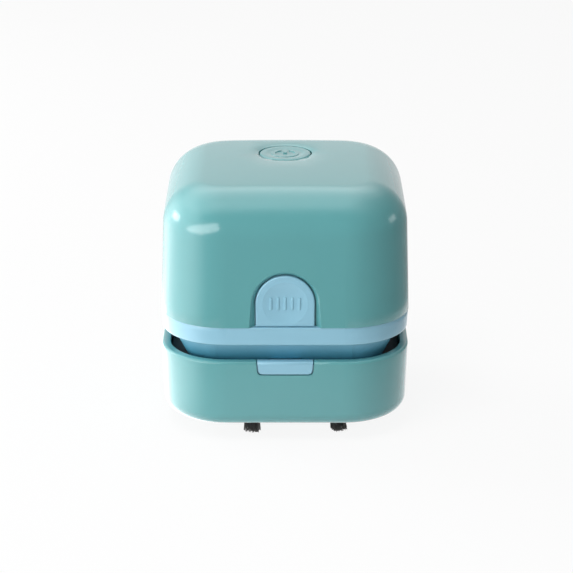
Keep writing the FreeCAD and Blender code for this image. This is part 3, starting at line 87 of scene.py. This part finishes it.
class Finish:
    # a node tree with one way to add a node

    def __init__(self, tree):
        self.tree = tree
        tree.nodes.clear()

    def node(self, kind, settings, sockets):
        made = self.tree.nodes.new(kind)
        for name, value in settings.items():
            setattr(made, name, value)
        for key, value in sockets.items():
            if isinstance(value, Wire):
                self.tree.links.new(value.socket, made.inputs[key])
            else:
                made.inputs[key].default_value = value
        return made

    def wire(self, kind, settings, sockets, output=0):
        return Wire(self, self.node(kind, settings, sockets).outputs[output])

    def place(self):
        return self.wire("ShaderNodeTexCoord", {}, {}, "Object")

    def along(self, axis, vector):
        return self.wire("ShaderNodeSeparateXYZ", {}, {"Vector": vector}, axis)

    def noise(self, scale, detail, vector=None, output="Fac"):
        sockets = {"Vector": vector or self.place(), "Scale": scale, "Detail": detail}
        return self.wire("ShaderNodeTexNoise", {}, sockets, output)

    def blend(self, share, first, second):
        settings = {"data_type": "RGBA", "blend_type": "MIX"}
        return self.wire("ShaderNodeMix", settings, {0: share, 6: first, 7: second}, 2)

    def ramp(self, value, low, high):
        # 0 at low and 1 at high, with soft ends
        settings = {"interpolation_type": "SMOOTHSTEP"}
        sockets = {"Value": value, "From Min": low, "From Max": high}
        return self.wire("ShaderNodeMapRange", settings, sockets)

    def bump(self, height, strength, distance):
        sockets = {"Height": height, "Strength": strength, "Distance": distance}
        return self.wire("ShaderNodeBump", {}, sockets)

    def surface(self, sockets):
        shader = self.wire("ShaderNodeBsdfPrincipled", {}, sockets)
        self.node("ShaderNodeOutputMaterial", {}, {"Surface": shader})


def newMaterial(name):
    material = bpy.data.materials.new(name)
    material.use_nodes = True
    return material, Finish(material.node_tree)


screenCurve = {"levels": 255, "straightBelow": 0.04045, "straight": 12.92, "offset": 0.055, "power": 2.4}
opaque = (1.0,)
white = (1.0, 1.0, 1.0, 1.0)
noiseMiddle = 0.5


def linearShare(share):
    if share <= screenCurve["straightBelow"]:
        return share / screenCurve["straight"]
    offset = screenCurve["offset"]
    return ((share + offset) / (1 + offset)) ** screenCurve["power"]


def linear(*channels):
    # red, green and blue as on a screen, 0 to 255, to a shader colour
    return tuple(linearShare(channel / screenCurve["levels"]) for channel in channels) + opaque


def shade(colour, factor):
    return tuple(min(1.0, channel * factor) for channel in colour[:3]) + opaque


# Plastics. In all finishes below, a noise is given by its scale and detail.

glossPlastics = {
    "teal_plastic": {"colour": linear(91, 156, 159), "roughness": 0.2},
    "pale_blue_plastic": {"colour": linear(137, 186, 206), "roughness": 0.24},
    # chassis: the same pale blue, plus a painted shade colour for the shaded foot of its neck
    "chassis_plastic": {"colour": linear(137, 186, 206), "roughness": 0.24, "foot": linear(84, 168, 198)},
    "lamp_plastic": {"colour": linear(236, 238, 234), "roughness": 0.3},
}
glossSkin = {
    "flow": (38.0, 3.0),
    "dark": 0.975,
    "light": 1.025,
    "smear": (160.0, 4.0),
    "smearDepth": 0.08,
    "grain": (900.0, 2.0),
    "grainShare": 0.25,
    "ripple": (120.0, 1.0),
    "bumpStrength": 0.12,
    "bumpHeight": 0.2 * mm,
    "coat": 0.35,
    "coatRoughness": 0.08,
    "ior": 1.5,
}
# heights over which the painted shade on the neck comes in, full at the foot
neckHeights = {"foot": 26.5 * mm, "top": 34.5 * mm}


def glossPlastic(name, colour, roughness, foot=None):
    # clean moulded gloss: faint flow marks in the colour, and a slight skin ripple; given a foot colour,
    # painted shade at the neck's foot as well
    material, finish = newMaterial(name)
    flow = finish.noise(*glossSkin["flow"])
    tint = finish.blend(flow, shade(colour, glossSkin["dark"]), shade(colour, glossSkin["light"]))
    if foot:
        # painted shade: the neck turns a darker, deeper blue towards its foot, where it stands in the shaded
        # gap between the band and the lower shell
        height = finish.along("Z", finish.place())
        footShadeShare = finish.ramp(height, neckHeights["top"], neckHeights["foot"])
        tint = finish.blend(footShadeShare, tint, foot)
    smear = finish.noise(*glossSkin["smear"])
    grain = finish.noise(*glossSkin["grain"])
    ripple = finish.noise(*glossSkin["ripple"])
    relief = ripple + grain * glossSkin["grainShare"]
    finish.surface({
        "Base Color": tint,
        "Roughness": roughness + (smear - noiseMiddle) * glossSkin["smearDepth"],
        "Normal": finish.bump(relief, glossSkin["bumpStrength"], glossSkin["bumpHeight"]),
        "Coat Weight": glossSkin["coat"],
        "Coat Roughness": glossSkin["coatRoughness"],
        "IOR": glossSkin["ior"],
    })
    return material


mattPlastics = {
    "dark_plastic": {"colour": linear(38, 39, 41), "roughness": 0.46, "grain": 2200.0},
    "grey_plastic": {"colour": linear(122, 126, 130), "roughness": 0.5, "grain": 1800.0},
    "white_plastic": {"colour": linear(226, 224, 216), "roughness": 0.42, "grain": 1500.0},
    # black rubber for the seals; on the neck seal its black also stands in for the deep shade of the gap
    # below the band
    "black_rubber": {"colour": linear(22, 24, 27), "roughness": 0.68, "grain": 3000.0},
    "red_sleeve": {"colour": linear(176, 28, 26), "roughness": 0.38, "grain": 1200.0},
    "black_sleeve": {"colour": linear(30, 30, 31), "roughness": 0.38, "grain": 1200.0},
    "battery_wrap": {"colour": linear(40, 84, 156), "roughness": 0.26, "grain": 400.0},
}
mattSkin = {
    "cloud": (70.0, 3.0),
    "dark": 0.88,
    "light": 1.14,
    "grainDetail": 3.0,
    "grainDepth": 0.2,
    "bumpStrength": 0.35,
    "bumpHeight": 0.08 * mm,
    "ior": 1.47,
}


def mattPlastic(name, colour, roughness, grain):
    # fine spark-eroded texture, and slightly uneven colour
    material, finish = newMaterial(name)
    cloud = finish.noise(*mattSkin["cloud"])
    texture = finish.noise(grain, mattSkin["grainDetail"])
    finish.surface({
        "Base Color": finish.blend(cloud, shade(colour, mattSkin["dark"]), shade(colour, mattSkin["light"])),
        "Roughness": roughness + (texture - noiseMiddle) * mattSkin["grainDepth"],
        "Normal": finish.bump(texture, mattSkin["bumpStrength"], mattSkin["bumpHeight"]),
        "IOR": mattSkin["ior"],
    })
    return material


# Metals and magnets

metals = {
    "screw_steel": {"colour": linear(198, 199, 201), "roughness": 0.26, "grainAcross": 30.0},
    "motor_steel": {"colour": linear(190, 192, 194), "roughness": 0.32, "grainAcross": 60.0},
    "bronze": {"colour": linear(196, 152, 92), "roughness": 0.4, "grainAcross": 12.0},
}
drawnMetal = {
    "lines": (300.0, 4.0),
    "lineDepth": 0.22,
    "film": (90.0, 3.0),
    "filmDepth": 0.12,
    "dark": 0.82,
    "light": 1.06,
    "bumpStrength": 0.25,
    "bumpHeight": 0.03 * mm,
}


def metal(name, colour, roughness, grainAcross):
    # drawn metal: fine lines round the axis and a dull patchy film
    material, finish = newMaterial(name)
    scale = (1.0, 1.0, grainAcross)
    stretched = finish.wire("ShaderNodeMapping", {}, {"Vector": finish.place(), "Scale": scale})
    lines = finish.noise(*drawnMetal["lines"], stretched)
    film = finish.noise(*drawnMetal["film"])
    uneven = (lines - noiseMiddle) * drawnMetal["lineDepth"]
    dull = (film - noiseMiddle) * drawnMetal["filmDepth"]
    dark, light = shade(colour, drawnMetal["dark"]), shade(colour, drawnMetal["light"])
    finish.surface({
        "Base Color": finish.blend(film, dark, light),
        "Metallic": 1.0,
        "Roughness": roughness + uneven + dull,
        "Normal": finish.bump(lines, drawnMetal["bumpStrength"], drawnMetal["bumpHeight"]),
    })
    return material


magnetPowder = {
    "dark": linear(44, 44, 46),
    "light": linear(74, 74, 76),
    "grit": (2600.0, 4.0),
    "metallic": 0.35,
    "roughness": 0.5,
    "gritDepth": 0.3,
    "bumpStrength": 0.5,
    "bumpHeight": 0.06 * mm,
}


def ferrite(name):
    # pressed magnet powder: dark, gritty, with a metallic glint
    material, finish = newMaterial(name)
    grit = finish.noise(*magnetPowder["grit"])
    finish.surface({
        "Base Color": finish.blend(grit, magnetPowder["dark"], magnetPowder["light"]),
        "Metallic": magnetPowder["metallic"],
        "Roughness": magnetPowder["roughness"] + (grit - noiseMiddle) * magnetPowder["gritDepth"],
        "Normal": finish.bump(grit, magnetPowder["bumpStrength"], magnetPowder["bumpHeight"]),
    })
    return material


# Circuit board

boardFinish = {
    "mask": linear(22, 96, 52),
    "trace": linear(46, 134, 74),
    "tracePitch": 420.0,
    "traceUneven": 0.35,
    "traceShare": 0.62,
    "weave": (1500.0, 2.0),
    "weaveDepth": 0.16,
    "weaveShare": 0.2,
    "roughness": 0.34,
    "bumpStrength": 0.3,
    "bumpHeight": 0.04 * mm,
    "coat": 0.2,
}


def circuitBoard(name):
    # green mask, with lighter tracks where the copper lies under it
    material, finish = newMaterial(name)
    settings = {"feature": "F1", "distance": "CHEBYCHEV", "voronoi_dimensions": "2D"}
    sockets = {
        "Vector": finish.place(),
        "Scale": boardFinish["tracePitch"],
        "Randomness": boardFinish["traceUneven"],
    }
    cells = finish.wire("ShaderNodeTexVoronoi", settings, sockets)
    tracks = cells > boardFinish["traceShare"]
    weave = finish.noise(*boardFinish["weave"])
    relief = tracks + weave * boardFinish["weaveShare"]
    finish.surface({
        "Base Color": finish.blend(tracks, boardFinish["mask"], boardFinish["trace"]),
        "Roughness": boardFinish["roughness"] + (weave - noiseMiddle) * boardFinish["weaveDepth"],
        "Normal": finish.bump(relief, boardFinish["bumpStrength"], boardFinish["bumpHeight"]),
        "Coat Weight": boardFinish["coat"],
    })
    return material


# Filter cloth and bristles

clothLook = {
    "dusty": linear(206, 207, 202),
    "clean": linear(238, 238, 234),
    "warp": (700.0, 3.0),
    "fibreScale": 900.0,
    "fibreDepth": 0.1,
    "dust": (60.0, 4.0),
    "fuzz": (2400.0, 2.0),
    "fuzzShare": 0.5,
    "roughness": 0.9,
    "bumpStrength": 0.5,
    "bumpHeight": 0.1 * mm,
    "sheen": 0.25,
}


def filterCloth(name):
    # non-woven cloth: tangled fibres, a little grey with dust
    material, finish = newMaterial(name)
    warped = finish.noise(*clothLook["warp"], output="Color")
    bent = finish.wire("ShaderNodeVectorMath", {"operation": "ADD"}, {0: finish.place(), 1: warped})
    settings = {"feature": "DISTANCE_TO_EDGE"}
    sockets = {"Vector": bent, "Scale": clothLook["fibreScale"]}
    fibres = finish.wire("ShaderNodeTexVoronoi", settings, sockets)
    dust = finish.noise(*clothLook["dust"])
    relief = fibres + finish.noise(*clothLook["fuzz"]) * clothLook["fuzzShare"]
    finish.surface({
        "Base Color": finish.blend(dust, clothLook["dusty"], clothLook["clean"]),
        "Roughness": clothLook["roughness"] - fibres * clothLook["fibreDepth"],
        "Normal": finish.bump(relief, clothLook["bumpStrength"], clothLook["bumpHeight"]),
        "Sheen Weight": clothLook["sheen"],
    })
    return material


nylonLook = {
    "fresh": linear(24, 24, 25),
    "worn": linear(70, 69, 67),
    "wornHeight": 3.0 * mm,
    "strand": (2500.0, 2.0),
    "strandDepth": 0.2,
    "roughness": 0.36,
    "bumpStrength": 0.2,
    "bumpHeight": 0.05 * mm,
}


def bristleNylon(name):
    # black nylon hair, a little greyer towards the cut tips
    material, finish = newMaterial(name)
    sockets = {
        "Value": finish.along("Z", finish.place()),
        "From Min": 0.0,
        "From Max": nylonLook["wornHeight"],
        "To Min": 1.0,
        "To Max": 0.0,
    }
    worn = finish.wire("ShaderNodeMapRange", {}, sockets)
    strand = finish.noise(*nylonLook["strand"])
    finish.surface({
        "Base Color": finish.blend(worn * strand, nylonLook["fresh"], nylonLook["worn"]),
        "Roughness": nylonLook["roughness"] + (strand - noiseMiddle) * nylonLook["strandDepth"],
        "Normal": finish.bump(strand, nylonLook["bumpStrength"], nylonLook["bumpHeight"]),
    })
    return material


def makeMaterials():
    made = {name: glossPlastic(name, **look) for name, look in glossPlastics.items()}
    made.update({name: mattPlastic(name, **look) for name, look in mattPlastics.items()})
    made.update({name: metal(name, **look) for name, look in metals.items()})
    made["ferrite"] = ferrite("ferrite")
    made["circuit_board"] = circuitBoard("circuit_board")
    made["filter_cloth"] = filterCloth("filter_cloth")
    made["black_bristle"] = bristleNylon("black_bristle")
    return made


materials = makeMaterials()
print("materials:", len(materials))


# CAD nodes keep their shape, and get their finish and slightly softened edges

ownFinish = {"base_chassis": "chassis_plastic"}
softEdges = {
    "upper_shell": 0.4,
    "lower_shell": 0.2,
    "base_chassis": 0.2,
    "catch_tab": 0.22,
    "latch_button": 0.12,
    "power_button": 0.12,
    "motor_plate": 0.15,
    "fan_cover": 0.15,
    "filter_frame": 0.12,
    "battery_pack": 0.3,
    "motor_can": 0.3,
    "motor_cap": 0.15,
    "impeller": 0.1,
    # neck seal: a black rubber ring in the gap below the band, a real seal that also stands in for that
    # gap's deep shade
    "neck_seal": 0.2,
    "brush_ring": 0.12,
}
bevel = {"sharpDegrees": 38.0, "segments": 2, "weld": 0.002 * mm}


def soften(node, width):
    weld = node.modifiers.new("weld", "WELD")
    weld.merge_threshold = bevel["weld"]
    edge = node.modifiers.new("edge", "BEVEL")
    edge.width = width * mm
    edge.segments = bevel["segments"]
    edge.limit_method = "ANGLE"
    edge.angle_limit = math.radians(bevel["sharpDegrees"])
    edge.use_clamp_overlap = True
    edge.harden_normals = True


def dressNodes():
    for part in frame["record"]["subparts"]:
        node = nodes[part["node"]]
        node.data.materials.clear()
        node.data.materials.append(materials[ownFinish.get(part["node"], part["material_slot"])])
        if part["node"] in softEdges:
            soften(node, softEdges[part["node"]])


dressNodes()
print("nodes dressed:", len(nodes))


def meshPiece(name, mesh, material, body):
    mesh.name = name
    piece = bpy.data.objects.new(name, mesh)
    bpy.context.scene.collection.objects.link(piece)
    piece.data.materials.append(materials[material])
    for face in piece.data.polygons:
        face.use_smooth = True
    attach(piece, body)
    return piece


# Bristle bundles: stiff nylon hairs, fanned a little and cut unevenly

tufts = {
    "count": 7,
    "firstDegrees": -19.9,
    "ringInset": 8.7,
    "halfWidth": 2.45,
    "halfDepth": 2.05,
    "cornerPower": 4,
    "hairsAcross": 15,
    "hairsDeep": 12,
    "fan": 0.1,
    "rootShare": 0.82,
    "unevenTips": 0.9,
    "wornBundle": 1,
    "wornLean": 2.2,
    "seed": 11,
}
hair = {
    "radius": 0.13,
    "thinnerTipShare": 0.25,
    "bow": 0.12,
    "sides": 5,
    "rings": 4,
    "cellShares": (0.2, 0.8),
    "fanShares": (0.3, 1.0),
    "edgePower": 3,
    "middleCutShare": 0.35,
}


def addHair(mesh, root, tip, bow):
    rings = []
    sides = hair["sides"]
    for step in range(hair["rings"]):
        share = step / (hair["rings"] - 1)
        middle = root.lerp(tip, share) + bow * math.sin(math.pi * share)
        thin = hair["radius"] * mm * (1.0 - hair["thinnerTipShare"] * share)
        turns = [2 * math.pi * side / sides for side in range(sides)]
        spokes = [Vector((math.cos(turn) * thin, math.sin(turn) * thin, 0)) for turn in turns]
        rings.append([mesh.verts.new(middle + spoke) for spoke in spokes])
    for low, high in zip(rings, rings[1:]):
        for side in range(sides):
            after = (side + 1) % sides
            mesh.faces.new((low[side], low[after], high[after], high[side]))
    mesh.faces.new(rings[0][::-1])
    mesh.faces.new(rings[-1])


def acrossBundle(dice, index, count):
    # where a hair stands across its bundle, from -1 to 1
    return (index + dice.uniform(*hair["cellShares"])) / count * 2 - 1


def addBundle(mesh, dice, spin, reach, lean, low, high):
    for i in range(tufts["hairsAcross"]):
        for j in range(tufts["hairsDeep"]):
            u = acrossBundle(dice, i, tufts["hairsAcross"])
            v = acrossBundle(dice, j, tufts["hairsDeep"])
            if abs(u) ** tufts["cornerPower"] + abs(v) ** tufts["cornerPower"] > 1.0:
                continue
            x, y = u * tufts["halfWidth"] * mm, v * tufts["halfDepth"] * mm
            spread = 1 + tufts["fan"] * dice.uniform(*hair["fanShares"])
            edge = max(abs(u), abs(v)) ** hair["edgePower"]
            cutShare = hair["middleCutShare"] + (1 - hair["middleCutShare"]) * edge
            cut = dice.uniform(0.0, tufts["unevenTips"]) * mm * cutShare
            root = spin @ Vector((x * tufts["rootShare"], -reach + y * tufts["rootShare"], high.z))
            tip = spin @ Vector((x * spread, -reach + y * spread + lean, low.z + cut))
            most = hair["bow"]
            bow = spin @ Vector((dice.uniform(-most, most), dice.uniform(-most, most), 0)) * mm
            addHair(mesh, root, tip, bow)


def makeTufts():
    dice = random.Random(tufts["seed"])
    low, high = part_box("brush_tufts")
    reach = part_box("upper_shell")[1].x - tufts["ringInset"] * mm
    mesh = bmesh.new()
    for index in range(tufts["count"]):
        turn = math.radians(tufts["firstDegrees"] + 360 / tufts["count"] * index)
        # one bundle is worn, and its tips are pushed out
        lean = -tufts["wornLean"] * mm if index == tufts["wornBundle"] else 0.0
        addBundle(mesh, dice, Matrix.Rotation(turn, 3, "Z"), reach, lean, low, high)
    made = bpy.data.meshes.new("bristles")
    mesh.to_mesh(made)
    mesh.free()
    piece = meshPiece("bristles", made, "black_bristle", "brush")
    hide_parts("brush_tufts")


makeTufts()
print("bristles made")


# Stage, light and camera

floorLook = {"size": 6.0, "tone": 0.8, "whiteShare": 0.9}
worldLook = {"ambient": 0.34, "seen": 1.0}
surround = {
    "front": 0.25,
    "left": 2.3,
    "leftEdge": (-0.5, -0.95),
    "behind": 0.75,
    "behindEdge": (-0.1, 0.75),
    "above": 2.0,
    "aboveEdge": (0.4, 0.8),
    "aboveFrontEdge": (-0.75, -0.1),
    "rightShade": 0.85,
    "rightEdge": (0.05, 0.75),
    "rightRim": 1.2,
    "rimBehindEdge": (0.55, 0.95),
    "rimRightEdge": (0.0, 0.3),
    "rimLowEdge": (0.0, -0.2),
    "underfoot": 0.9,
    "underfootEdge": (0.16, 0.16 / 3),
}


def mirrored(finish, direction):
    # what gloss reflects: soft boxes on the left and above, white behind, dim in front and on the right
    x, y, z = [finish.along(axis, direction) for axis in "XYZ"]
    left = finish.ramp(x, *surround["leftEdge"])
    right = finish.ramp(x, *surround["rightEdge"])
    behind = finish.ramp(y, *surround["behindEdge"])
    above = finish.ramp(z, *surround["aboveEdge"]) * finish.ramp(y, *surround["aboveFrontEdge"])
    spread = behind * surround["behind"] + above * surround["above"]
    rimSide = finish.ramp(y, *surround["rimBehindEdge"]) * finish.ramp(x, *surround["rimRightEdge"])
    rim = rimSide * finish.ramp(z, *surround["rimLowEdge"])
    sides = surround["front"] + left * surround["left"] + rim * surround["rightRim"]
    return sides + (1.0 - right * surround["rightShade"]) * spread


def rays(finish):
    # 1 for what the camera sees directly, and 1 for what gloss or glass shows of it
    path = finish.node("ShaderNodeLightPath", {}, {})
    seen = Wire(finish, path.outputs["Is Camera Ray"])
    glossy = Wire(finish, path.outputs["Is Glossy Ray"]) + Wire(finish, path.outputs["Is Transmission Ray"])
    return seen, glossy


def floorMaterial():
    # near white to the eye, with the object's shadow, and plain grey as a light bounce
    material, finish = newMaterial("floor")
    tone = floorLook["tone"]
    matt = finish.wire("ShaderNodeBsdfDiffuse", {}, {"Color": (tone, tone, tone) + opaque})
    outward = finish.wire("ShaderNodeVectorMath", {"operation": "NORMALIZE"}, {0: finish.place()})
    seen, glossy = rays(finish)
    reach = finish.wire("ShaderNodeVectorMath", {"operation": "LENGTH"}, {0: finish.place()}, "Value")
    near = finish.ramp(reach, *surround["underfootEdge"])
    strength = seen + (1.0 - seen) * (mirrored(finish, outward) + near * surround["underfoot"])
    glow = finish.wire("ShaderNodeEmission", {}, {"Color": white, "Strength": strength})
    share = seen * floorLook["whiteShare"] + glossy
    both = finish.wire("ShaderNodeMixShader", {}, {0: share, 1: matt, 2: glow})
    finish.node("ShaderNodeOutputMaterial", {}, {"Surface": both})
    return material


def makeFloor():
    mesh = bmesh.new()
    bmesh.ops.create_grid(mesh, x_segments=1, y_segments=1, size=floorLook["size"] / 2)
    made = bpy.data.meshes.new("floor")
    mesh.to_mesh(made)
    mesh.free()
    floor = bpy.data.objects.new("floor", made)
    bpy.context.scene.collection.objects.link(floor)
    floor.data.materials.append(floorMaterial())


def makeWorld():
    # plain light all round, and white to the eye
    world = bpy.data.worlds.new("studio")
    bpy.context.scene.world = world
    world.use_nodes = True
    finish = Finish(world.node_tree)
    seen, glossy = rays(finish)
    direction = finish.wire("ShaderNodeTexCoord", {}, {}, "Generated")
    around = glossy * mirrored(finish, direction) + (1.0 - glossy) * worldLook["ambient"]
    strength = seen * worldLook["seen"] + (1.0 - seen) * around
    light = finish.wire("ShaderNodeBackground", {}, {"Color": white, "Strength": strength})
    finish.node("ShaderNodeOutputWorld", {}, {"Surface": light})


# The key and the left box light the plastic, and the glints show only in its gloss.
lamps = {
    "frontKey": {
        "place": (-0.128, -0.220, 0.588), "aim": (0.0, 0.0, 0.045), "wide": 0.3, "high": 0.3,
        "roll": 0.0, "watts": 1.7, "matt": 1.0, "gloss": False,
    },
    "leftBox": {
        "place": (-0.64, 0.354, 0.20), "aim": (0.0, 0.0, 0.06), "wide": 0.46, "high": 0.27,
        "roll": 0.0, "watts": 4.9, "matt": 1.0, "gloss": False,
    },
    "leftGlint": {
        "place": (-0.70, 0.18, 0.17), "aim": (0.0, 0.0, 0.06), "wide": 0.26, "high": 0.15,
        "roll": 0.0, "watts": 0.8, "matt": 0.0, "gloss": True,
    },
    "windowGlint": {
        "place": (-0.40, -0.44, 0.125), "aim": (0.0, 0.0, 0.06), "wide": 0.66, "high": 0.22,
        "roll": 25.0, "watts": 2.1, "matt": 0.0, "gloss": True,
    },
    "rightGlint": {
        "place": (0.67, 0.08, 0.16), "aim": (0.0, 0.0, 0.06), "wide": 0.2, "high": 0.12,
        "roll": 0.0, "watts": 0.16, "matt": 0.0, "gloss": True,
    },
}


def makeLamps():
    for name, look in lamps.items():
        light = bpy.data.lights.new(name, "AREA")
        light.shape = "RECTANGLE"
        light.size = look["wide"]
        light.size_y = look["high"]
        light.energy = look["watts"]
        light.diffuse_factor = look["matt"]
        lamp = bpy.data.objects.new(name, light)
        lamp.visible_glossy = look["gloss"]
        lamp.visible_camera = False
        lamp.location = look["place"]
        aim = Vector(look["aim"]) - Vector(look["place"])
        roll = Quaternion((0.0, 0.0, 1.0), math.radians(look["roll"]))
        lamp.rotation_euler = (aim.to_track_quat("-Z", "Y") @ roll).to_euler()
        bpy.context.scene.collection.objects.link(lamp)


# Fitted to the photo's outlines
camera = {
    "distance": 0.700,
    "height": 0.2848,
    "downDegrees": 19.31,
    "lens": 139.5,
    "sensor": 36.0,
    "framePixels": 573,
    "axisLeftPixels": 1.3,
    "nearest": 0.05,
    "furthest": 20.0,
}


def makeCamera():
    data = bpy.data.cameras.new("camera")
    data.lens = camera["lens"]
    data.sensor_width = camera["sensor"]
    data.shift_x = camera["axisLeftPixels"] / camera["framePixels"]
    data.clip_start = camera["nearest"]
    data.clip_end = camera["furthest"]
    viewer = bpy.data.objects.new("camera", data)
    viewer.location = (0.0, -camera["distance"], camera["height"])
    viewer.rotation_euler = (math.radians(90 - camera["downDegrees"]), 0.0, 0.0)
    bpy.context.scene.collection.objects.link(viewer)
    bpy.context.scene.camera = viewer


makeFloor()
makeWorld()
makeLamps()
makeCamera()
bpy.context.scene.view_settings.view_transform = "Standard"
print("stage set")
